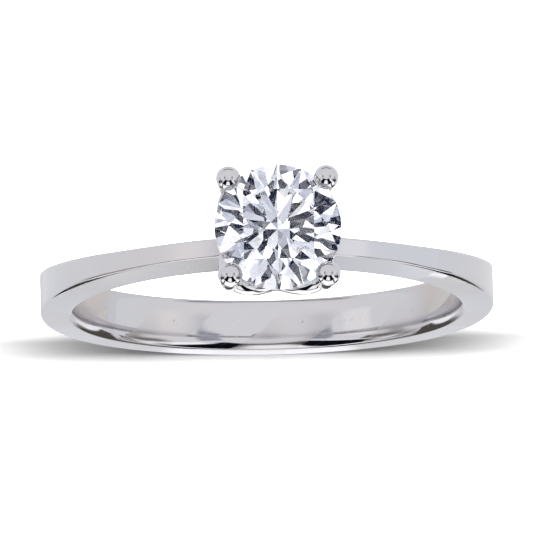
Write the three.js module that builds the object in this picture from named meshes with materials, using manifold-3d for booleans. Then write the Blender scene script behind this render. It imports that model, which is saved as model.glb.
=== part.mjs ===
// Solitaire engagement ring: a tapering shank whose shoulders rise to a four-claw basket head
// that holds one round brilliant.
// Units are millimetres. The finger's axis is Y, the stone faces +Z, and the origin is the centre
// of the finger hole. Angles round the shank are measured from its top, +Z, towards +X.

import * as THREE from "three";
import { ConvexGeometry } from "three/addons/geometries/ConvexGeometry.js";
import { mergeVertices } from "three/addons/utils/BufferGeometryUtils.js";
import Module from "manifold-3d";

const wasm = await Module();
wasm.setup();

const { degToRad, smoothstep, lerp } = THREE.MathUtils;

// ---- Shank ----
const FINGER_RADIUS = 8.56; // a US size 6 3/4 finger hole, 17.12 mm across
const SHANK_THICKNESS = 1.54; // outer diameter 20.2 mm away from the shoulders
const SHOULDER_RISE = 1.0; // extra height of the shank under the head
const SHOULDER_ANGLE = 46; // where the rise begins, in degrees from the top
const SHANK_HALF_WIDTH = 1.165; // at the bottom
const OUTER_HALF_WIDTH_TOP = 0.4; // outer face under the head
const INNER_HALF_WIDTH_TOP = 0.65; // inner face under the head
const OUTER_TAPER = [20, 137]; // angles between which the outer face widens
const INNER_TAPER = [4, 128]; // angles between which the inner face widens
const EDGE_CHAMFER = 0.06; // along both rims of the outer face
const COMFORT_ROUND = 0.25; // how far the finger face falls away at its rims
const COMFORT_POWER = 5; // how late towards the rims it does so
const SHANK_SECTIONS = 120;
const FINGER_FACE_POINTS = 9;

// ---- Stone ----
const STONE_RADIUS = 2.7; // 5.4 mm round brilliant, about 0.6 carat
const GIRDLE_HEIGHT = 15.1; // middle of the girdle above the centre of the finger hole
const GIRDLE_THICKNESS = 0.08; // at its thinnest
const TABLE_SHARE = 0.6; // table corner radius over girdle radius
const CROWN_ANGLE = degToRad(34.5);
const PAVILION_ANGLE = degToRad(40.8);
const STAR_SHARE = 0.5; // how far the star facets reach from the table's edge to the girdle
const LOWER_HALF_SHARE = 0.77; // how far the lower halves reach from the girdle to the culet
const FACET_FOLDS = 8;
const GIRDLE_SIDES = 64;

// ---- Head ----
const CLAW_TIP_DISTANCE = 2.94; // from the stone's axis
const CLAW_TIP_HEIGHT = 15.38;
const CLAW_TIP_RADIUS = 0.53;
const CLAW_TOP_RADIUS = 0.43;
const CLAW_BASE_RADIUS = 0.34;
const CLAW_STEPS = 14;
const CLAW_SIDES = 14;
const TIP_SEGMENTS = 20;
const TIP_RINGS = 14;
const COLLET_OUTER_RADIUS = 1.35;
const COLLET_INNER_RADIUS = 0.8;
const COLLET_HEIGHT = 0.85;
const SADDLE_HEIGHT = 10.15; // flat floor cut in the top of the shank
const ROUND_SIDES = 48;
const RAIL_WIRE_RADIUS = 0.42;
const RAIL_MEAN_RADIUS = 2.21;
const RAIL_BOW = 0.41; // the rail bows out to each claw and in between the claws
const RAIL_MEAN_HEIGHT = 12.6;
const RAIL_WAVE = 0.4; // it also rises to each claw
const RAIL_KNOTS = 32;
const RAIL_STEPS = 72;
const RAIL_SIDES = 10;
const FIT_GAP = 0.05; // clearance left where one piece is let into another
const MERGE_DISTANCE = 1e-5; // points closer than this are one

const WHITE_GOLD = { color: 0xd9d9dc, roughness: 0.12, metalness: 1 };
const DIAMOND = { color: 0xf4f7fb, roughness: 0, metalness: 0 };

// ---- Solids ----

// Rings of points joined side by side, into a closed loop or with a flat cap at each end. Each ring
// runs anticlockwise seen from the ring after it.
function loft(rings, isLoop) {
  const sides = rings[0].length;
  const points = rings.flat();
  const triangles = [];
  const spans = isLoop ? rings.length : rings.length - 1;
  for (let i = 0; i < spans; i++) {
    const here = i * sides;
    const next = ((i + 1) % rings.length) * sides;
    for (let j = 0; j < sides; j++) {
      const k = (j + 1) % sides;
      triangles.push(here + j, next + k, next + j);
      triangles.push(here + j, here + k, next + k);
    }
  }
  if (!isLoop) {
    const last = (rings.length - 1) * sides;
    for (let j = 1; j < sides - 1; j++) {
      triangles.push(0, j + 1, j);
      triangles.push(last, last + j, last + j + 1);
    }
  }
  const geometry = new THREE.BufferGeometry().setFromPoints(points);
  geometry.setIndex(triangles);
  return geometry;
}

// Round wire along a curve in steps; radiusAt gives its radius from 0 at the start to 1 at the end.
function wire(line, steps, sides, radiusAt, isLoop) {
  const stations = Array.from({ length: isLoop ? steps : steps + 1 }, (_, i) => i / steps);
  const rings = stations.map((station) => {
    const centre = line.getPointAt(station);
    const along = line.getTangentAt(station);
    const turn = new THREE.Quaternion().setFromUnitVectors(new THREE.Vector3(0, 0, 1), along);
    return Array.from({ length: sides }, (_, j) => {
      const angle = (j / sides) * 2 * Math.PI;
      const spoke = new THREE.Vector3(Math.cos(angle), Math.sin(angle), 0).applyQuaternion(turn);
      return centre.clone().addScaledVector(spoke, radiusAt(station));
    });
  });
  return loft(rings, isLoop);
}

function toSolid(geometry) {
  const bare = geometry.clone();
  bare.deleteAttribute("normal");
  bare.deleteAttribute("uv");
  const merged = mergeVertices(bare, MERGE_DISTANCE);
  return new wasm.Manifold(
    new wasm.Mesh({
      numProp: 3,
      vertProperties: new Float32Array(merged.attributes.position.array),
      triVerts: new Uint32Array(merged.index.array),
    }),
  );
}

function toGeometry(solid) {
  const { vertProperties, triVerts } = solid.getMesh();
  const geometry = new THREE.BufferGeometry();
  geometry.setAttribute("position", new THREE.BufferAttribute(vertProperties, 3));
  geometry.setIndex(new THREE.BufferAttribute(triVerts, 1));
  geometry.computeVertexNormals();
  return geometry;
}

// Upright cylinder from height low to height high on the stone's axis.
function post(radius, low, high, sides = ROUND_SIDES) {
  const geometry = new THREE.CylinderGeometry(radius, radius, high - low, sides);
  geometry.rotateX(Math.PI / 2);
  geometry.translate(0, 0, (low + high) / 2);
  return geometry;
}

// ---- Shank ----

// Value that eases from atTop to atBottom between two angles from the top of the ring.
function ease(angle, [start, end], atTop, atBottom) {
  return lerp(atTop, atBottom, smoothstep(angle, start, end));
}

// Cross-section at an angle from the top: a finger face that rounds away at its rims, two leaning
// sides and a flat outer face with chamfered rims, as points of (distance along Y, distance from
// the finger's axis).
function shankSection(angle) {
  const outer = ease(angle, OUTER_TAPER, OUTER_HALF_WIDTH_TOP, SHANK_HALF_WIDTH);
  const inner = ease(angle, INNER_TAPER, INNER_HALF_WIDTH_TOP, SHANK_HALF_WIDTH);
  const rise = ease(angle, [0, SHOULDER_ANGLE], SHOULDER_RISE, 0);
  const crest = FINGER_RADIUS + SHANK_THICKNESS + rise;
  const fingerFace = Array.from({ length: FINGER_FACE_POINTS }, (_, i) => {
    const side = (2 * i) / (FINGER_FACE_POINTS - 1) - 1;
    const fall = COMFORT_ROUND * Math.abs(side) ** COMFORT_POWER;
    return new THREE.Vector2(side * inner, FINGER_RADIUS + fall);
  });
  return [
    ...fingerFace,
    new THREE.Vector2(outer, crest - EDGE_CHAMFER),
    new THREE.Vector2(outer - EDGE_CHAMFER, crest),
    new THREE.Vector2(EDGE_CHAMFER - outer, crest),
    new THREE.Vector2(-outer, crest - EDGE_CHAMFER),
  ];
}

function shank() {
  const rings = Array.from({ length: SHANK_SECTIONS }, (_, i) => {
    const turn = (i / SHANK_SECTIONS) * 2 * Math.PI;
    const fromTop = THREE.MathUtils.radToDeg(Math.min(turn, 2 * Math.PI - turn));
    return shankSection(fromTop).map(
      ({ x, y }) => new THREE.Vector3(y * Math.sin(turn), x, y * Math.cos(turn)),
    );
  });
  const saddleCut = post(COLLET_OUTER_RADIUS + FIT_GAP, SADDLE_HEIGHT, GIRDLE_HEIGHT);
  return toGeometry(toSolid(loft(rings, true)).subtract(toSolid(saddleCut)));
}

// ---- Stone ----

// Ring of points about the stone's axis, one for each fold; halfSteps turns it by half-folds.
function facetCorners(radius, height, halfSteps) {
  return Array.from({ length: FACET_FOLDS }, (_, i) => {
    const angle = ((i + 0.5 + halfSteps / 2) / FACET_FOLDS) * 2 * Math.PI;
    return new THREE.Vector3(radius * Math.cos(angle), radius * Math.sin(angle), height);
  });
}

// Round brilliant about the Z axis with its girdle at height 0. The facets meet a little outside
// the girdle, and a cylinder trims them to the scalloped band of a real stone.
function brilliant() {
  const halfFold = Math.PI / FACET_FOLDS;
  const rim = STONE_RADIUS / Math.cos(halfFold / 2);
  const tableRadius = TABLE_SHARE * STONE_RADIUS;
  const tableFlat = tableRadius * Math.cos(halfFold);
  const starRadius = lerp(tableFlat, STONE_RADIUS, STAR_SHARE);
  const lowerHalfRadius = STONE_RADIUS * (1 - LOWER_HALF_SHARE);
  const onCrown = (radius) => GIRDLE_THICKNESS / 2 + (rim - radius) * Math.tan(CROWN_ANGLE);
  const onPavilion = (radius) => -GIRDLE_THICKNESS / 2 - (rim - radius) * Math.tan(PAVILION_ANGLE);
  const corners = [
    ...facetCorners(tableRadius, onCrown(tableRadius), 0),
    ...facetCorners(starRadius, onCrown(starRadius * Math.cos(halfFold)), 1),
    ...facetCorners(rim, GIRDLE_THICKNESS / 2, 0),
    ...facetCorners(rim, GIRDLE_THICKNESS / 2, 1),
    ...facetCorners(rim, -GIRDLE_THICKNESS / 2, 0),
    ...facetCorners(rim, -GIRDLE_THICKNESS / 2, 1),
    ...facetCorners(lowerHalfRadius, onPavilion(lowerHalfRadius * Math.cos(halfFold)), 1),
    new THREE.Vector3(0, 0, onPavilion(0)),
  ];
  const round = post(STONE_RADIUS, -STONE_RADIUS, STONE_RADIUS, GIRDLE_SIDES);
  return toSolid(new ConvexGeometry(corners)).intersect(toSolid(round));
}

function diamond() {
  return toGeometry(brilliant().translate([0, 0, GIRDLE_HEIGHT]));
}

// The stone with the fitting gap all round it, which each claw is notched to.
function stoneSeat() {
  const scale = 1 + FIT_GAP / STONE_RADIUS;
  return brilliant().scale([scale, scale, scale]).translate([0, 0, GIRDLE_HEIGHT]);
}

// ---- Head ----

// Point at an angle round the stone's axis, a distance out from it and a height up.
function placed(angle, out, up) {
  return new THREE.Vector3(out * Math.cos(angle), out * Math.sin(angle), up);
}

// Claw wire in the vertical plane at an angle round the stone, from the collet out under the girdle
// and up to the tip, grown by extra all round.
function clawWire(angle, extra) {
  const knots = [
    [1.15, 10.78],
    [1.85, 11.3],
    [2.5, 12.15],
    [2.85, 13.3],
    [2.94, 14.4],
    [CLAW_TIP_DISTANCE, CLAW_TIP_HEIGHT],
  ];
  const line = new THREE.CatmullRomCurve3(knots.map(([out, up]) => placed(angle, out, up)));
  const radiusAt = (station) => lerp(CLAW_BASE_RADIUS, CLAW_TOP_RADIUS, station) + extra;
  return toSolid(wire(line, CLAW_STEPS, CLAW_SIDES, radiusAt, false));
}

// Claw with its rounded tip, notched for the stone and cut back to the collet.
function claw(angle) {
  const tip = new THREE.SphereGeometry(CLAW_TIP_RADIUS, TIP_SEGMENTS, TIP_RINGS);
  tip.translate(...placed(angle, CLAW_TIP_DISTANCE, CLAW_TIP_HEIGHT));
  const colletCut = post(COLLET_OUTER_RADIUS + FIT_GAP, 0, GIRDLE_HEIGHT);
  const cuts = stoneSeat().add(toSolid(colletCut));
  return toGeometry(clawWire(angle, 0).add(toSolid(tip)).subtract(cuts));
}

// Wavy wire that ties the claws together under the stone, let in round each claw.
function galleryRail(clawAngles) {
  const knots = Array.from({ length: RAIL_KNOTS }, (_, i) => {
    const angle = (i / RAIL_KNOTS) * 2 * Math.PI;
    const wave = -Math.cos(clawAngles.length * angle);
    return placed(angle, RAIL_MEAN_RADIUS + RAIL_BOW * wave, RAIL_MEAN_HEIGHT + RAIL_WAVE * wave);
  });
  const line = new THREE.CatmullRomCurve3(knots, true);
  const rail = toSolid(wire(line, RAIL_STEPS, RAIL_SIDES, () => RAIL_WIRE_RADIUS, true));
  const clawCuts = clawAngles.map((angle) => clawWire(angle, FIT_GAP));
  return toGeometry(clawCuts.reduce((left, cut) => left.subtract(cut), rail));
}

// Ring at the foot of the head, standing in the shank's saddle.
function baseCollet() {
  const low = SADDLE_HEIGHT + FIT_GAP;
  const high = low + COLLET_HEIGHT;
  const profile = [
    new THREE.Vector2(COLLET_INNER_RADIUS, low),
    new THREE.Vector2(COLLET_OUTER_RADIUS, low),
    new THREE.Vector2(COLLET_OUTER_RADIUS, high),
    new THREE.Vector2(COLLET_INNER_RADIUS, high),
    new THREE.Vector2(COLLET_INNER_RADIUS, low),
  ];
  const geometry = new THREE.LatheGeometry(profile, ROUND_SIDES);
  geometry.rotateX(Math.PI / 2);
  return geometry;
}

// ---- Assembly ----

const clawPlaces = {
  claw_back_right: degToRad(45),
  claw_back_left: degToRad(135),
  claw_front_left: degToRad(225),
  claw_front_right: degToRad(315),
};

function addPiece(group, name, geometry, finish) {
  const mesh = new THREE.Mesh(geometry, new THREE.MeshStandardMaterial(finish));
  mesh.name = name;
  group.add(mesh);
}

const ring = new THREE.Group();
addPiece(ring, "shank", shank(), WHITE_GOLD);
addPiece(ring, "base_collet", baseCollet(), WHITE_GOLD);
for (const [name, angle] of Object.entries(clawPlaces)) {
  addPiece(ring, name, claw(angle), WHITE_GOLD);
}
addPiece(ring, "gallery_rail", galleryRail(Object.values(clawPlaces)), WHITE_GOLD);
addPiece(ring, "diamond", diamond(), DIAMOND);

export default ring;
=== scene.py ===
"""Looks of the solitaire engagement ring: polished white gold, one round brilliant, soft white studio.

Lengths are metres in the frame of the CAD model: the finger's axis is Y and the stone faces +Z.
Angles round the shank are measured from its top, +Z, towards +X.
"""

import math

import bmesh
import bpy
import numpy as np
from mathutils import Matrix, Vector

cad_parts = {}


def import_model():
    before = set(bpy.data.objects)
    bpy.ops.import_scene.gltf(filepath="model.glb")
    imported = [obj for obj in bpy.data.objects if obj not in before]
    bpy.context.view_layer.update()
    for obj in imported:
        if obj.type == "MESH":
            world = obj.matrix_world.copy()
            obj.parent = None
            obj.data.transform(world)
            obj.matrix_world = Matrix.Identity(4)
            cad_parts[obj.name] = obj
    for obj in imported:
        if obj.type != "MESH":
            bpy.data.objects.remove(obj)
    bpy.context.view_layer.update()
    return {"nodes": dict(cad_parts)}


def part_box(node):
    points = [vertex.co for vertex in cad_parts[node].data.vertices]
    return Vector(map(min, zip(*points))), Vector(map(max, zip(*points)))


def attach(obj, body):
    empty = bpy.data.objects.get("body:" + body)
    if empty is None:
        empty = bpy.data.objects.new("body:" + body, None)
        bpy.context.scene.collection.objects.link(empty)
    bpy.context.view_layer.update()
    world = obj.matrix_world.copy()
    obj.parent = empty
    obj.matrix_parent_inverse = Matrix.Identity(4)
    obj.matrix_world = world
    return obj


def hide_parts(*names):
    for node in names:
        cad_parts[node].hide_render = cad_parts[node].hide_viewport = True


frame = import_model()

MM = 0.001
TURN = 2 * math.pi

# ---- Sizes, from the frame ----
# Both faces of the shank widen from its top to its bottom, over the angles of their tapers, in degrees from
# the top. The edges of its outer face are rounded by OUTER_EDGE, and by WORN_EDGE more round WORN_ANGLE.
shank_low, shank_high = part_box("shank")
OUTER_RADIUS = shank_high.x
HALF_WIDTH = shank_high.y
FINGER_RADIUS = min(
    math.hypot(v.co.x, v.co.z) for v in frame["nodes"]["shank"].data.vertices
)
SHOULDER_RISE = 1.0 * MM
SHOULDER_ANGLE = 46
OUTER_TOP_SHARE = 0.4 / 1.165
INNER_TOP_SHARE = 0.65 / 1.165
OUTER_TAPER = (20, 137)
INNER_TAPER = (4, 128)
COMFORT_ROUND = 0.25 * MM
COMFORT_POWER = 5
POLISHED_RIM = 0.84
OUTER_EDGE = 0.08 * MM
WORN_EDGE = 0.14 * MM
WORN_ANGLE = 62
WORN_SPREAD = 15
RIM_EDGE = 0.09 * MM
SUPPORT = 0.012 * MM
SHANK_RINGS = 540

collet_low, collet_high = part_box("base_collet")
COLLET_RADIUS = collet_high.x
COLLET_WALL = 0.55 * MM
COLLET_EDGE = 0.07 * MM
FIT_GAP = 0.05 * MM
SADDLE_HEIGHT = collet_low.z - FIT_GAP

stone_low, stone_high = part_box("diamond")
STONE_RADIUS = stone_high.y
TABLE_SHARE = 0.6
CROWN_ANGLE = math.radians(34.5)
PAVILION_ANGLE = math.radians(40.8)
STAR_SHARE = 0.5
LOWER_HALF_SHARE = 0.77
GIRDLE_THICKNESS = 0.08 * MM
FOLDS = 8
HALF_FOLD = math.pi / FOLDS
FLAT_ANGLE = math.radians(0.2)
SLIVER = 1e-4
GIRDLE_UPRIGHT = 0.1
GIRDLE_CUT_REACH = 10
STONE_RIM = STONE_RADIUS / math.cos(HALF_FOLD / 2)
GIRDLE_HEIGHT = stone_low.z + GIRDLE_THICKNESS / 2 + STONE_RIM * math.tan(PAVILION_ANGLE)

CLAW_PLACES = {
    "claw_back_right": 45,
    "claw_back_left": 135,
    "claw_front_left": 225,
    "claw_front_right": 315,
}
_, claw_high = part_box("claw_back_right")
TIP_RADIUS = 0.53 * MM
TIP_HEIGHT = claw_high.z - TIP_RADIUS
TIP_DISTANCE = (claw_high.x - TIP_RADIUS) * math.sqrt(2)
CLAW_TOP_RADIUS = 0.43 * MM
CLAW_BASE_RADIUS = 0.34 * MM
CLAW_NECK = TIP_HEIGHT - 0.78 * MM
CLAW_BEND = [
    (1.15 * MM, 10.78 * MM),
    (2.3 * MM, 11.2 * MM),
    (TIP_DISTANCE, 12.6 * MM),
    (TIP_DISTANCE, CLAW_NECK),
]
BALL_BLEND = 0.06 * MM
SEAT_CLEARANCE = 0.3 * FIT_GAP

_, rail_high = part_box("gallery_rail")
RAIL_WIRE = 0.42 * MM
RAIL_MEAN_RADIUS = 2.21 * MM
RAIL_BOW = 0.41 * MM
RAIL_WAVE = 0.4 * MM
RAIL_LOBES = 4
RAIL_HEIGHT = rail_high.z - RAIL_WIRE - RAIL_WAVE

# ---- How finely the meshes are divided ----
FINGER_POINTS = 48
RIM_STEPS = 9
LIP_STEPS = 13
COLLET_STEPS = 7
COLLET_SIDES = 160
CUT_SIDES = 96
GIRDLE_SIDES = 128
CLAW_SIDES = 64
CLAW_BEND_POINTS = 60
CLAW_NECK_POINTS = 30
BALL_POINTS = 24
RAIL_RINGS = 480
RAIL_SIDES = 48

# ---- Tones and finish ----
# Colours of the gold are linear red, green and blue. A grain is how fast the fine lines of polishing vary
# along the shank, across it and out from it.
GOLD_TONE = (0.66, 0.655, 0.67)
OUTER_TONE = (0.67, 0.675, 0.71)
SIDE_TONE = (0.665, 0.67, 0.695)
FINGER_TONE = (0.68, 0.66, 0.665)
CLOUD_TINT = (0.975, 0.98, 0.99)
CLOUD_SCALE = 0.9
OUTER_GRAIN = (9.0, 0.35, 0.5)
SIDE_GRAIN = (1.5, 4.0, 5.0)
FINGER_GRAIN = (0.2, 9.0, 0.5)
EDGE_GRAIN = (2.0, 2.0, 2.0)
HEAD_GRAIN = (1.2, 1.2, 1.2)
GRAIN_RELIEF = 0.004 * MM
LEAST_ROUGH_SHARE = 0.75
ROUGH_SHARE_RANGE = 0.5
STONE_TONE = (0.985, 0.99, 1.0)
GIRDLE_TONE = (0.80, 0.82, 0.90)
CLEAR_ROUGHNESS = 0.0
GIRDLE_ROUGHNESS = 0.35
STONE_INDEX = 2.42
STONE_CLOUD_SCALE = 900.0
OUTER_SLOT, SIDE_SLOT, FINGER_SLOT, EDGE_SLOT = range(4)

# ---- Camera ----
# It stands far off, in front of the ring and high above it.
CAMERA_AZIMUTH = math.radians(-10.884)
CAMERA_ELEVATION = math.radians(79.326)
CAMERA_ROLL = math.radians(9.871)
CAMERA_DISTANCE = 299.87 * MM
CAMERA_TARGET = Vector((-0.105 * MM, 0.487 * MM, 3.334 * MM))
CAMERA_LENS = 459.0
SENSOR_WIDTH = 36
CLIP_START = 0.01
CLIP_END = 10

# ---- Floor ----
# Painted shade and painted light: the camera sees the paper painted least bright in a fixed strip under the
# ring, where the ring's real shadow falls, which deepens that shadow. It is painted brighter than white
# further off, in front of that strip and behind it. Fades are in millimetres, from the middle or along Y.
FLOOR_SIZE = 3.0
FLOOR_WHITE = (0.78, 0.78, 0.785, 1)
FLOOR_PAINTED_SHADE = (0.8, 0.8, 0.8, 1)
FLOOR_PAINTED_LIGHT_BEYOND = (1.7, 1.7, 1.7, 1)
FLOOR_PAINTED_LIGHT_BEHIND = (2.6, 2.6, 2.6, 1)
PAINTED_SHADE_REACH_FADE = (7, 16)
PAINTED_SHADE_FRONT_FADE = (-1.65, -0.9)
PAINTED_SHADE_BEHIND_FADE = (-0.5, 0.2)
# Painted reflections: what the gold sees of it is a glow, not lit paper, in patches of painted light and
# painted shade. The patches are of both sides or one, between two azimuths in degrees from the front and
# two distances in millimetres from the middle, with their colours. The dark patch near the middle is
# painted shade of the ring. The black ones further off are painted reflections of dark cards that are not
# there.
ALL_ROUND = (-10, 190)
MIDDLE = -10
HORIZON = 10000
FLOOR_PAINTED_FAR = (0.90, 0.91, 0.94, 1)
FLOOR_SOFTNESS = 0.6
FLOOR_PAINTED_REFLECTIONS = [
    (True, ALL_ROUND, (MIDDLE, 14.5), (0.82, 0.83, 0.86)),
    (True, (-10, 88), (MIDDLE, 4.5), (1.20, 1.20, 1.24)),
    (True, (88, 190), (MIDDLE, 7), (0.80, 0.77, 0.75)),
    (True, (-10, 55), (4, 9), (0.10, 0.09, 0.08)),
    (False, (-58, 58), (14.5, HORIZON), (1.6, 1.6, 1.62)),
    (True, (38, 62), (15.5, 40), (0.0, 0.0, 0.0)),
    (True, (12, 40), (16, 24), (0.03, 0.03, 0.05)),
    (True, (62, 80), (60, HORIZON), (0.03, 0.03, 0.032)),
    (False, (-46, -37), (45, HORIZON), (0.03, 0.03, 0.035)),
    (False, (32, 42), (45, HORIZON), (0.03, 0.03, 0.035)),
]

# ---- Tent ----
# Panels of both sides or one, between two azimuths and two elevations in degrees, with their colours.
PANEL_SOFTNESS = 2.5
TENT_TOP = (0.93, 0.93, 0.96, 1)
TENT_LOW = (0.90, 0.905, 0.93, 1)
TENT_FADE = (0.2, 1.0)
BLACK_STAND = (0.004, 0.005, 0.01)
TENT_PANELS = [
    (True, (-10, 56), (-90, 44), (1.35, 1.33, 1.34)),
    (True, (56, 73), (-90, 23), (0.13, 0.12, 0.12)),
    (True, (73, 94), (-90, 9), (0.38, 0.36, 0.34)),
    (True, (80, 105), (22, 40), (1.06, 1.03, 1.04)),
    (True, (66, 105), (48, 63), (0.40, 0.41, 0.48)),
    (True, (150, 190), (-4, 9), (0.12, 0.12, 0.16)),
    (False, (-52, 48), (49, 59), BLACK_STAND),
    (False, (-52, 48), (4, 11), (0.05, 0.05, 0.06)),
    (False, (-52, -20), (6, 52), BLACK_STAND),
    (False, (12, 42), (2, 52), BLACK_STAND),
]
FILL = (0.05, 0.05, 0.05, 1)

# ---- Cloth and flags that the stone sees ----
# Each ring of flags has an elevation, a number of flags, the azimuth of the first and the size of each.
STONE_FOLDS = 2.6
FOLD_EDGES = (0.36, 0.62)
STONE_BRIGHT = (1.9, 1.9, 1.95, 1)
STONE_GREY = (0.58, 0.62, 0.76, 1)
STONE_DARK = (0.002, 0.007, 0.030, 1)
STONE_SHEEN = (0.05, 0.05, 0.07, 1)
FLAG_SOFTNESS = 1
STONE_FLAG_RINGS = [
    (75, 2, 25, 12),
    (58, 4, 30, 10),
    (42, 5, -40, 8),
    (22, 3, -10, 12),
]

# ---- Lamp ----
KEY_DISTANCE = 1.0
KEY_HALF_WIDTH = 35
KEY_HALF_DEPTH = 7
KEY_TILT = 1.0
KEY_ENERGY = 11.6

# ---- Bounces, enough for light to find its way out of the stone ----
ALL_BOUNCES = 24
STONE_BOUNCES = 20


# ---- Meshes ----

def smooth_step(value, start, end):
    share = np.clip((value - start) / (end - start), 0, 1)
    return share * share * (3 - 2 * share)


def ease(angle, span, at_top, at_bottom):
    return at_top + (at_bottom - at_top) * smooth_step(angle, *span)


def strips(rings, sides, closed):
    """Quads between rings of points that lie one after another in a list."""
    spans = rings if closed else rings - 1
    return [
        (i * sides + j, i * sides + (j + 1) % sides,
         (i + 1) % rings * sides + (j + 1) % sides, (i + 1) % rings * sides + j)
        for i in range(spans)
        for j in range(sides)
    ]


def make_piece(name, points, faces, materials, face_slots=None):
    mesh = bpy.data.meshes.new(name)
    mesh.from_pydata([tuple(p) for p in points], [], faces)
    for material in materials:
        mesh.materials.append(material)
    if face_slots is not None:
        mesh.polygons.foreach_set("material_index", face_slots)
    mesh.update()
    piece = bpy.data.objects.new(name, mesh)
    bpy.context.scene.collection.objects.link(piece)
    face_outwards(mesh)
    return piece


def face_outwards(mesh):
    shape = bmesh.new()
    shape.from_mesh(mesh)
    bmesh.ops.recalc_face_normals(shape, faces=shape.faces)
    shape.to_mesh(mesh)
    shape.free()


def combine(piece, tool, operation):
    """Cuts tool from piece or keeps only what they share, then removes tool."""
    cut = piece.modifiers.new("cut", "BOOLEAN")
    cut.operation = operation
    cut.solver = "EXACT"
    cut.object = tool
    graph = bpy.context.evaluated_depsgraph_get()
    result = bpy.data.meshes.new_from_object(piece.evaluated_get(graph))
    piece.modifiers.clear()
    old = piece.data
    piece.data = result
    bpy.data.meshes.remove(old)
    bpy.data.objects.remove(tool)


def smooth_piece(piece, crease=35):
    piece.data.shade_smooth()
    piece.data.set_sharp_from_angle(angle=math.radians(crease))


def finish_piece(piece, slot, *nodes):
    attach(piece, "root")
    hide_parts(*nodes)


def round_corner(before, corner, after, steps):
    """Points on a smooth curve that replaces a corner."""
    share = np.linspace(0, 1, steps)[:, None]
    return (1 - share) ** 2 * before + 2 * share * (1 - share) * corner + share ** 2 * after


def cylinder(name, radius, low, high, sides):
    turn = np.linspace(0, TURN, sides, endpoint=False)
    ring = np.stack([radius * np.cos(turn), radius * np.sin(turn), 0 * turn], 1)
    points = np.concatenate([ring + (0, 0, low), ring + (0, 0, high)])
    faces = strips(2, sides, False)
    faces += [tuple(range(sides)), tuple(range(sides, 2 * sides))]
    return make_piece(name, points, faces, [])


# ---- Materials ----

class Nodes:
    """Short ways to add nodes to a node tree and join them. An input's keyword is its name, or i and its
    number."""

    def __init__(self, tree):
        self.tree = tree

    def add(self, kind, settings=None, **inputs):
        node = self.tree.nodes.new(kind)
        for key, value in (settings or {}).items():
            setattr(node, key, value)
        for key, value in inputs.items():
            numbered = key[0] == "i" and key[1:].isdigit()
            self.put(node.inputs[int(key[1:]) if numbered else key], value)
        return node

    def put(self, socket, value):
        if isinstance(value, bpy.types.NodeSocket):
            self.tree.links.new(value, socket)
        else:
            socket.default_value = value

    def math(self, operation, a, b=0.0):
        node = self.add("ShaderNodeMath", {"operation": operation}, i0=a, i1=b)
        return node.outputs[0]

    def length(self, a, b):
        squares = self.math("ADD", self.math("MULTIPLY", a, a), self.math("MULTIPLY", b, b))
        return self.math("SQRT", squares)

    def dot(self, a, b):
        node = self.add("ShaderNodeVectorMath", {"operation": "DOT_PRODUCT"}, i0=a, i1=b)
        return node.outputs["Value"]

    def range(self, value, low, high):
        """0 at low and beyond it, 1 at high and beyond it."""
        smooth = {"interpolation_type": "SMOOTHSTEP"}
        node = self.add("ShaderNodeMapRange", smooth, i0=value, i1=low, i2=high)
        return node.outputs[0]

    def mix(self, factor, a, b):
        node = self.add("ShaderNodeMix", {"data_type": "RGBA"}, i0=factor, i6=a, i7=b)
        return node.outputs[2]

    def noise(self, vector, scale, detail, roughness=0.5):
        node = self.add("ShaderNodeTexNoise", None, Vector=vector, Scale=scale, Detail=detail,
                        Roughness=roughness)
        return node.outputs[0]

    def stretched(self, vector, scale):
        node = self.add("ShaderNodeMapping", None, Vector=vector, Scale=scale)
        return node.outputs[0]


def new_material(name):
    material = bpy.data.materials.new(name)
    material.use_nodes = True
    nodes = Nodes(material.node_tree)
    return material, nodes, material.node_tree.nodes["Principled BSDF"]


def ring_coordinates(nodes):
    """Vector of millimetres along the shank, across it and out from the finger's axis."""
    place = nodes.add("ShaderNodeTexCoord").outputs["Object"]
    split = nodes.add("ShaderNodeSeparateXYZ", None, i0=place)
    x, y, z = split.outputs
    along = nodes.math("MULTIPLY", nodes.math("ARCTAN2", x, z), OUTER_RADIUS / MM)
    across = nodes.math("DIVIDE", y, MM)
    out = nodes.math("DIVIDE", nodes.length(x, z), MM)
    return nodes.add("ShaderNodeCombineXYZ", None, i0=along, i1=across, i2=out).outputs[0]


def white_gold(name, tone, grain, roughness, grain_strength):
    """Polished white gold with a faint cloudiness and fine lines."""
    material, nodes, shader = new_material(name)
    place = ring_coordinates(nodes)
    cloud = nodes.noise(place, CLOUD_SCALE, 2.0)
    lines = nodes.noise(nodes.stretched(place, grain), 1.0, 4.0, 0.6)
    cool = [level * tint for level, tint in zip(tone, CLOUD_TINT)]
    nodes.put(shader.inputs["Base Color"], nodes.mix(cloud, (*cool, 1), (*tone, 1)))
    shader.inputs["Metallic"].default_value = 1.0
    spread = nodes.math("MULTIPLY_ADD", lines, roughness * ROUGH_SHARE_RANGE)
    spread.node.inputs[2].default_value = roughness * LEAST_ROUGH_SHARE
    nodes.put(shader.inputs["Roughness"], spread)
    bump = nodes.add("ShaderNodeBump", None, Height=lines, Strength=grain_strength, Distance=GRAIN_RELIEF)
    nodes.put(shader.inputs["Normal"], bump.outputs[0])
    return material


def diamond_material(name, tone, roughness):
    """Clear stone that refracts, with a hardly visible tint in cloudy patches."""
    material, nodes, shader = new_material(name)
    place = nodes.add("ShaderNodeTexCoord").outputs["Object"]
    cloud = nodes.noise(place, STONE_CLOUD_SCALE, 2.0)
    nodes.put(shader.inputs["Base Color"], nodes.mix(cloud, (*tone, 1), (1.0, 1.0, 1.0, 1)))
    shader.inputs["Roughness"].default_value = roughness
    shader.inputs["IOR"].default_value = STONE_INDEX
    shader.inputs["Transmission Weight"].default_value = 1.0
    return material


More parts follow.
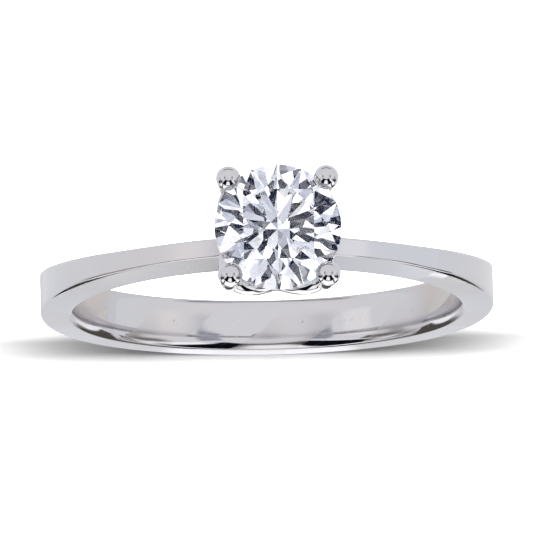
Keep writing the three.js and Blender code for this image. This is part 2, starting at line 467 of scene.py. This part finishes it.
GOLD_OUTER = white_gold("white_gold_outer", OUTER_TONE, OUTER_GRAIN, roughness=0.12, grain_strength=0.25)
GOLD_SIDE = white_gold("white_gold_side", SIDE_TONE, SIDE_GRAIN, roughness=0.16, grain_strength=0.15)
GOLD_FINGER = white_gold("white_gold_finger", FINGER_TONE, FINGER_GRAIN, roughness=0.2, grain_strength=0.10)
GOLD_EDGE = white_gold("white_gold_edge", GOLD_TONE, EDGE_GRAIN, roughness=0.05, grain_strength=0.05)
GOLD_HEAD = white_gold("white_gold_head", GOLD_TONE, HEAD_GRAIN, roughness=0.04, grain_strength=0.06)
CLEAR = diamond_material("diamond_clear", STONE_TONE, CLEAR_ROUGHNESS)
GIRDLE = diamond_material("diamond_girdle", GIRDLE_TONE, GIRDLE_ROUGHNESS)


# ---- Shank ----

def shank_outline(angle):
    """Half of the cross-section, from the middle of the finger face round to the middle of the outer
    face, as (across, out) points in five stretches."""
    outer = ease(angle, OUTER_TAPER, OUTER_TOP_SHARE * HALF_WIDTH, HALF_WIDTH)
    inner = ease(angle, INNER_TAPER, INNER_TOP_SHARE * HALF_WIDTH, HALF_WIDTH)
    crest = OUTER_RADIUS + ease(angle, (0, SHOULDER_ANGLE), SHOULDER_RISE, 0)
    side = np.sin(np.linspace(0, math.pi / 2, FINGER_POINTS))
    finger = np.stack([inner * side, FINGER_RADIUS + COMFORT_ROUND * side ** COMFORT_POWER], 1)
    rim = finger[-1]
    lip = np.array([outer, crest])
    up = (lip - rim) / np.linalg.norm(lip - rim)
    inwards = np.array([-1.0, 0.0])
    fall = (rim - finger[-2]) / np.linalg.norm(rim - finger[-2])
    kept = finger[np.linalg.norm(finger - rim, axis=1) > RIM_EDGE]
    rim_curve = round_corner(rim - fall * RIM_EDGE, rim, rim + up * RIM_EDGE, RIM_STEPS)
    edge = OUTER_EDGE + WORN_EDGE * math.exp(-((angle - WORN_ANGLE) / WORN_SPREAD) ** 2)
    lip_curve = round_corner(lip - up * edge, lip, lip + inwards * edge, LIP_STEPS)
    flat = [rim_curve[-1] + up * SUPPORT, lip_curve[0] - up * SUPPORT]
    crown = [lip_curve[-1] + inwards * SUPPORT, np.array([0, crest])]
    return kept, rim_curve, flat, lip_curve, crown


def outline_slots(parts):
    """Material slots of the strips round a whole cross-section, from the middle of the finger face."""
    kept, rim_curve, _, lip_curve, _ = parts
    brushed = int(np.sum(kept[:, 0] < POLISHED_RIM * rim_curve[-1, 0]))
    polished = len(kept) - brushed + len(rim_curve)
    half = [FINGER_SLOT] * brushed + [EDGE_SLOT] * polished
    half += [SIDE_SLOT] + [EDGE_SLOT] * (1 + len(lip_curve)) + [OUTER_SLOT]
    return half + half[::-1]


def shank():
    rings = []
    for turn in np.linspace(0, TURN, SHANK_RINGS, endpoint=False):
        from_top = math.degrees(min(turn, TURN - turn))
        half = np.concatenate([np.asarray(p) for p in shank_outline(from_top)])
        mirrored = half[1:-1][::-1] * (-1, 1)
        outline = np.concatenate([half, mirrored])
        across, out = outline.T
        rings.append(np.stack([out * math.sin(turn), across, out * math.cos(turn)], 1))
    faces = strips(len(rings), len(rings[0]), True)
    materials = [GOLD_OUTER, GOLD_SIDE, GOLD_FINGER, GOLD_EDGE]
    slots = outline_slots(shank_outline(0)) * len(rings)
    piece = make_piece("shank_polished", np.concatenate(rings), faces, materials, slots)
    saddle = cylinder("saddle_cut", COLLET_RADIUS + FIT_GAP, SADDLE_HEIGHT, GIRDLE_HEIGHT, CUT_SIDES)
    combine(piece, saddle, "DIFFERENCE")
    smooth_piece(piece)
    finish_piece(piece, "white_gold", "shank")


# ---- Stone ----

def facet_corners(radius, height, half_steps):
    turn = (np.arange(FOLDS) + 0.5 + half_steps / 2) / FOLDS * TURN
    return np.stack([radius * np.cos(turn), radius * np.sin(turn), np.full(FOLDS, height)], 1)


def brilliant(name, scale, materials):
    """Round brilliant with its girdle at its real height, grown by scale about the girdle's middle. It is
    cut in millimetres, which suits the exact cuts, and then brought to metres."""
    table = TABLE_SHARE * STONE_RADIUS
    star = table * math.cos(HALF_FOLD) * (1 - STAR_SHARE) + STONE_RADIUS * STAR_SHARE
    lower = STONE_RADIUS * (1 - LOWER_HALF_SHARE)
    half = GIRDLE_THICKNESS / 2

    def crown(radius):
        return half + (STONE_RIM - radius) * math.tan(CROWN_ANGLE)

    def pavilion(radius):
        return -half - (STONE_RIM - radius) * math.tan(PAVILION_ANGLE)

    points = np.concatenate([
        facet_corners(table, crown(table), 0),
        facet_corners(star, crown(star * math.cos(HALF_FOLD)), 1),
        facet_corners(STONE_RIM, half, 0),
        facet_corners(STONE_RIM, half, 1),
        facet_corners(STONE_RIM, -half, 0),
        facet_corners(STONE_RIM, -half, 1),
        facet_corners(lower, pavilion(lower * math.cos(HALF_FOLD)), 1),
        [[0, 0, pavilion(0)]],
    ])
    shape = bmesh.new()
    for point in points / MM:
        shape.verts.new(point)
    bmesh.ops.convex_hull(shape, input=shape.verts)
    bmesh.ops.dissolve_limit(shape, angle_limit=FLAT_ANGLE, verts=shape.verts, edges=shape.edges)
    mesh = bpy.data.meshes.new(name)
    shape.to_mesh(mesh)
    shape.free()
    piece = bpy.data.objects.new(name, mesh)
    bpy.context.scene.collection.objects.link(piece)
    radius = STONE_RADIUS / MM
    girdle = cylinder(name + "_girdle", radius, -GIRDLE_CUT_REACH, GIRDLE_CUT_REACH, GIRDLE_SIDES)
    combine(piece, girdle, "INTERSECT")
    shape = bmesh.new()
    shape.from_mesh(piece.data)
    bmesh.ops.dissolve_degenerate(shape, dist=SLIVER, edges=shape.edges)
    shape.to_mesh(piece.data)
    shape.free()
    for vertex in piece.data.vertices:
        vertex.co = vertex.co * MM * scale + Vector((0, 0, GIRDLE_HEIGHT))
    for material in materials:
        piece.data.materials.append(material)
    piece.data.shade_flat()
    return piece


def diamond():
    piece = brilliant("brilliant", 1, [CLEAR, GIRDLE])
    for facet in piece.data.polygons:
        facet.material_index = int(abs(facet.normal.z) < GIRDLE_UPRIGHT)
    finish_piece(piece, "diamond", "diamond")


# ---- Head ----

def bezier(points, share):
    p0, p1, p2, p3 = np.asarray(points)
    t = share[:, None]
    return (1 - t) ** 3 * p0 + 3 * t * (1 - t) ** 2 * p1 + 3 * t ** 2 * (1 - t) * p2 + t ** 3 * p3


def claw_line():
    """Centre line of a claw in its own upright plane, from the collet to the middle of its ball tip."""
    bend = bezier(CLAW_BEND, np.linspace(0, 1, CLAW_BEND_POINTS))
    rise = np.linspace(CLAW_NECK, TIP_HEIGHT, CLAW_NECK_POINTS)[1:]
    return np.concatenate([bend, np.stack([np.full(len(rise), TIP_DISTANCE), rise], 1)])


def claw_profile():
    """Centre line and radius of a claw, to the last ring before the top of its ball tip."""
    line = claw_line()
    run = np.concatenate([[0], np.cumsum(np.linalg.norm(np.diff(line, axis=0), axis=1))])
    share = run / run[-1]
    wire = CLAW_BASE_RADIUS + (CLAW_TOP_RADIUS - CLAW_BASE_RADIUS) * share
    below = run[-1] - run
    ball = np.sqrt(np.maximum(TIP_RADIUS ** 2 - below ** 2, 0))
    close = np.clip(0.5 + (ball - wire) / (2 * BALL_BLEND), 0, 1)
    radius = wire + (ball - wire) * close + BALL_BLEND * close * (1 - close)
    tilt = np.linspace(0, math.pi / 2, BALL_POINTS)[1:-1]
    cap = np.stack([np.full(len(tilt), TIP_DISTANCE), TIP_HEIGHT + TIP_RADIUS * np.sin(tilt)], 1)
    return np.concatenate([line, cap]), np.concatenate([radius, TIP_RADIUS * np.cos(tilt)])


def claw(name, degrees):
    line, radius = claw_profile()
    along = np.gradient(line, axis=0)
    along /= np.linalg.norm(along, axis=1)[:, None]
    angle = math.radians(degrees)
    outwards = np.array([math.cos(angle), math.sin(angle), 0])
    sideways = np.array([-math.sin(angle), math.cos(angle), 0])
    upwards = np.array([0, 0, 1.0])
    sides = CLAW_SIDES
    turn = np.linspace(0, TURN, sides, endpoint=False)
    rings = []
    for (out, up), (go_out, go_up), size in zip(line, along, radius):
        centre = out * outwards + up * upwards
        spoke = go_up * outwards - go_out * upwards
        rings.append(centre + size * (np.cos(turn)[:, None] * spoke + np.sin(turn)[:, None] * sideways))
    points = np.concatenate(rings)
    count = len(points)
    top = TIP_DISTANCE * outwards + (TIP_HEIGHT + TIP_RADIUS) * upwards
    points = np.concatenate([points, [top]])
    faces = strips(len(rings), sides, False)
    faces.append(tuple(range(sides)))
    faces += [(count - sides + j, count - sides + (j + 1) % sides, count) for j in range(sides)]
    piece = make_piece(name + "_polished", points, faces, [GOLD_HEAD])
    combine(piece, brilliant("seat", 1 + SEAT_CLEARANCE / STONE_RADIUS, []), "DIFFERENCE")
    combine(piece, cylinder("collet_cut", COLLET_RADIUS, 0, collet_high.z, CUT_SIDES), "DIFFERENCE")
    smooth_piece(piece)
    finish_piece(piece, "white_gold", name)


def gallery_rail():
    """Round wire bent into a wavy ring, widest and highest at the claws."""
    turn = np.linspace(0, TURN, RAIL_RINGS, endpoint=False)
    wave = -np.cos(RAIL_LOBES * turn)
    reach = RAIL_MEAN_RADIUS + RAIL_BOW * wave
    line = np.stack([reach * np.cos(turn), reach * np.sin(turn), RAIL_HEIGHT + RAIL_WAVE * wave], 1)
    along = np.roll(line, -1, 0) - np.roll(line, 1, 0)
    along /= np.linalg.norm(along, axis=1)[:, None]
    out = np.stack([np.cos(turn), np.sin(turn), 0 * turn], 1)
    out -= along * np.sum(out * along, 1)[:, None]
    out /= np.linalg.norm(out, axis=1)[:, None]
    over = np.cross(along, out)
    around = np.linspace(0, TURN, RAIL_SIDES, endpoint=False)
    sweep = np.cos(around)[None, :, None] * out[:, None] + np.sin(around)[None, :, None] * over[:, None]
    points = (line[:, None] + RAIL_WIRE * sweep).reshape(-1, 3)
    piece = make_piece("gallery_rail_polished", points, strips(RAIL_RINGS, RAIL_SIDES, True), [GOLD_HEAD])
    smooth_piece(piece)
    finish_piece(piece, "white_gold", "gallery_rail")


def base_collet():
    inner = COLLET_RADIUS - COLLET_WALL
    corners = [(inner, collet_low.z), (COLLET_RADIUS, collet_low.z),
               (COLLET_RADIUS, collet_high.z), (inner, collet_high.z)]
    corners = [np.array(c) for c in corners]
    outline = []
    for i, corner in enumerate(corners):
        before = corners[i - 1] - corner
        after = corners[(i + 1) % 4] - corner
        before = corner + before / np.linalg.norm(before) * COLLET_EDGE
        after = corner + after / np.linalg.norm(after) * COLLET_EDGE
        lead = (before - corner) * (SUPPORT / COLLET_EDGE)
        trail = (after - corner) * (SUPPORT / COLLET_EDGE)
        outline += [before + lead, *round_corner(before, corner, after, COLLET_STEPS), after + trail]
    rings = [
        [(out * math.cos(t), out * math.sin(t), up) for out, up in outline]
        for t in np.linspace(0, TURN, COLLET_SIDES, endpoint=False)
    ]
    points = np.array(rings).reshape(-1, 3)
    faces = strips(COLLET_SIDES, len(outline), True)
    piece = make_piece("base_collet_polished", points, faces, [GOLD_HEAD])
    smooth_piece(piece)
    finish_piece(piece, "white_gold", "base_collet")


# ---- Studio ----

def camera_back():
    level = math.cos(CAMERA_ELEVATION)
    return Vector((math.sin(CAMERA_AZIMUTH) * level, -math.cos(CAMERA_AZIMUTH) * level,
                   math.sin(CAMERA_ELEVATION)))


def camera():
    back = camera_back()
    data = bpy.data.cameras.new("camera")
    data.lens = CAMERA_LENS
    data.sensor_width = SENSOR_WIDTH
    data.clip_start = CLIP_START
    data.clip_end = CLIP_END
    eye = bpy.data.objects.new("camera", data)
    right = Vector((math.cos(CAMERA_AZIMUTH), math.sin(CAMERA_AZIMUTH), 0))
    up = back.cross(right)
    rolled_right = right * math.cos(CAMERA_ROLL) + up * math.sin(CAMERA_ROLL)
    rolled_up = up * math.cos(CAMERA_ROLL) - right * math.sin(CAMERA_ROLL)
    turned = Matrix((rolled_right, rolled_up, back)).transposed().to_4x4()
    eye.matrix_world = Matrix.Translation(CAMERA_TARGET + back * CAMERA_DISTANCE) @ turned
    bpy.context.scene.collection.objects.link(eye)
    bpy.context.scene.camera = eye


def floor():
    """Paper under the ring. The gold sees it glow with painted patches of light and shade. The camera sees
    its white with painted brightness: painted shade in the strip where the ring's real shadow falls, and
    painted light round it.
    """
    half = FLOOR_SIZE / 2
    points = [(-half, -half, shank_low.z), (half, -half, shank_low.z),
              (half, half, shank_low.z), (-half, half, shank_low.z)]
    material = bpy.data.materials.new("floor_paper")
    material.use_nodes = True
    tree = material.node_tree
    tree.nodes.clear()
    nodes = Nodes(tree)
    place = nodes.add("ShaderNodeTexCoord").outputs["Object"]
    x, y, _ = nodes.add("ShaderNodeSeparateXYZ", None, i0=place).outputs
    turn = nodes.math("ARCTAN2", x, nodes.math("MULTIPLY", y, -1.0))
    reach = nodes.math("DIVIDE", nodes.length(x, y), MM)
    mirrored = nodes.math("ABSOLUTE", turn)
    # Painted reflection: glossy rays see the paper glow in painted patches of light and shade.
    painted_reflection = FLOOR_PAINTED_FAR
    for both_sides, azimuths, reaches, colour in FLOOR_PAINTED_REFLECTIONS:
        mask = patch(nodes, mirrored if both_sides else turn, reach, azimuths, reaches, FLOOR_SOFTNESS)
        painted_reflection = nodes.mix(mask, painted_reflection, (*colour, 1))
    path = nodes.add("ShaderNodeLightPath").outputs
    depth = nodes.math("DIVIDE", y, MM)
    # Painted shade and light for camera rays: the paper is painted darker in the shadow strip and brighter
    # than white round it.
    painted_paper = nodes.mix(nodes.range(reach, *PAINTED_SHADE_REACH_FADE), FLOOR_PAINTED_SHADE, FLOOR_PAINTED_LIGHT_BEYOND)
    painted_paper = nodes.mix(nodes.range(depth, *PAINTED_SHADE_FRONT_FADE), FLOOR_PAINTED_LIGHT_BEYOND, painted_paper)
    painted_paper = nodes.mix(nodes.range(depth, *PAINTED_SHADE_BEHIND_FADE), painted_paper, FLOOR_PAINTED_LIGHT_BEHIND)
    seen = nodes.mix(path["Is Camera Ray"], FLOOR_WHITE, painted_paper)
    paper = nodes.add("ShaderNodeBsdfDiffuse", None, Color=seen)
    # The paper glows for the gold's reflected rays. This is a painted reflection, not a lamp.
    painted_emission = nodes.add("ShaderNodeEmission", None, Color=painted_reflection)
    surface = nodes.add("ShaderNodeMixShader", None, i0=path["Is Glossy Ray"], i1=paper.outputs[0],
                        i2=painted_emission.outputs[0])
    output = nodes.add("ShaderNodeOutputMaterial")
    tree.links.new(surface.outputs[0], output.inputs["Surface"])
    piece = make_piece("floor", points, [(0, 1, 2, 3)], [material])


def patch(nodes, azimuth, height, azimuths, heights, softness):
    """1 between two azimuths, in degrees from the front, and two heights, fading to 0 round them. The
    azimuth node is in radians."""
    left, right = [math.radians(a) for a in azimuths]
    bottom, top = heights
    blur = math.radians(PANEL_SOFTNESS)
    masks = [
        nodes.range(azimuth, left - blur, left + blur),
        nodes.range(azimuth, right + blur, right - blur),
        nodes.range(height, bottom - softness, bottom + softness),
        nodes.range(height, top + softness, top - softness),
    ]
    joined = masks[0]
    for mask in masks[1:]:
        joined = nodes.math("MULTIPLY", joined, mask)
    return joined


def metal_studio(nodes, way):
    """What the gold sees: a white tent with dark gaps and the dark camera stand in front."""
    x, y, z = nodes.add("ShaderNodeSeparateXYZ", None, i0=way).outputs
    turn = nodes.math("ARCTAN2", x, nodes.math("MULTIPLY", y, -1.0))
    mirrored = nodes.math("ABSOLUTE", turn)
    height = nodes.math("MULTIPLY", nodes.math("ARCSINE", z), 180 / math.pi)
    tent = nodes.mix(nodes.range(z, *TENT_FADE), TENT_LOW, TENT_TOP)
    for both_sides, azimuths, heights, colour in TENT_PANELS:
        mask = patch(nodes, mirrored if both_sides else turn, height, azimuths, heights, PANEL_SOFTNESS)
        tent = nodes.mix(mask, tent, (*colour, 1))
    return tent


def round_patch(nodes, way, azimuth, height, size):
    """1 within size degrees of a direction, fading to 0 round it."""
    turn, rise = math.radians(azimuth), math.radians(height)
    middle = (math.sin(turn) * math.cos(rise), -math.cos(turn) * math.cos(rise), math.sin(rise))
    edges = [math.cos(math.radians(size + blur)) for blur in (FLAG_SOFTNESS, -FLAG_SOFTNESS)]
    return nodes.range(nodes.dot(way, middle), *edges)


def stone_studio(nodes, way):
    """What the stone sees: bright cloth with soft folds and dark flags."""
    folds = nodes.noise(way, STONE_FOLDS, 1.0)
    cloth = nodes.mix(nodes.range(folds, *FOLD_EDGES), STONE_GREY, STONE_BRIGHT)
    for height, count, first, size in STONE_FLAG_RINGS:
        for i in range(count):
            inside = round_patch(nodes, way, first + i * 360 / count, height, size)
            cloth = nodes.mix(inside, cloth, STONE_DARK)
    return cloth


def world():
    """A white tent. Rays that leave the stone see its own lighting, and the paper gets an even fill."""
    surroundings = bpy.data.worlds.new("tent")
    surroundings.use_nodes = True
    tree = surroundings.node_tree
    tree.nodes.clear()
    nodes = Nodes(tree)
    way = nodes.add("ShaderNodeTexCoord").outputs["Generated"]
    tent = metal_studio(nodes, way)
    path = nodes.add("ShaderNodeLightPath").outputs
    seen = nodes.mix(path["Is Singular Ray"], tent, STONE_SHEEN)
    seen = nodes.mix(path["Is Transmission Ray"], seen, stone_studio(nodes, way))
    seen = nodes.mix(path["Is Diffuse Ray"], seen, FILL)
    emit = nodes.add("ShaderNodeBackground", None, Color=seen)
    output = nodes.add("ShaderNodeOutputWorld")
    tree.links.new(emit.outputs[0], output.inputs["Surface"])
    bpy.context.scene.world = surroundings


def key_light():
    """Long soft light over the ring, a little behind it."""
    data = bpy.data.lights.new("key", "AREA")
    data.shape = "RECTANGLE"
    data.size = 2 * KEY_DISTANCE * math.tan(math.radians(KEY_HALF_WIDTH))
    data.size_y = 2 * KEY_DISTANCE * math.tan(math.radians(KEY_HALF_DEPTH))
    data.energy = KEY_ENERGY
    lamp = bpy.data.objects.new("key", data)
    tilt = math.radians(KEY_TILT)
    lamp.location = (0, KEY_DISTANCE * math.sin(tilt), KEY_DISTANCE * math.cos(tilt))
    lamp.rotation_euler = (-tilt, 0, 0)
    lamp.visible_glossy = False
    lamp.visible_transmission = False
    bpy.context.scene.collection.objects.link(lamp)


camera()
floor()
world()
key_light()
shank()
base_collet()
for claw_name, claw_degrees in CLAW_PLACES.items():
    claw(claw_name, claw_degrees)
gallery_rail()
diamond()

scene = bpy.context.scene
scene.view_settings.view_transform = "Standard"
scene.cycles.max_bounces = ALL_BOUNCES
scene.cycles.glossy_bounces = STONE_BOUNCES
scene.cycles.transmission_bounces = STONE_BOUNCES
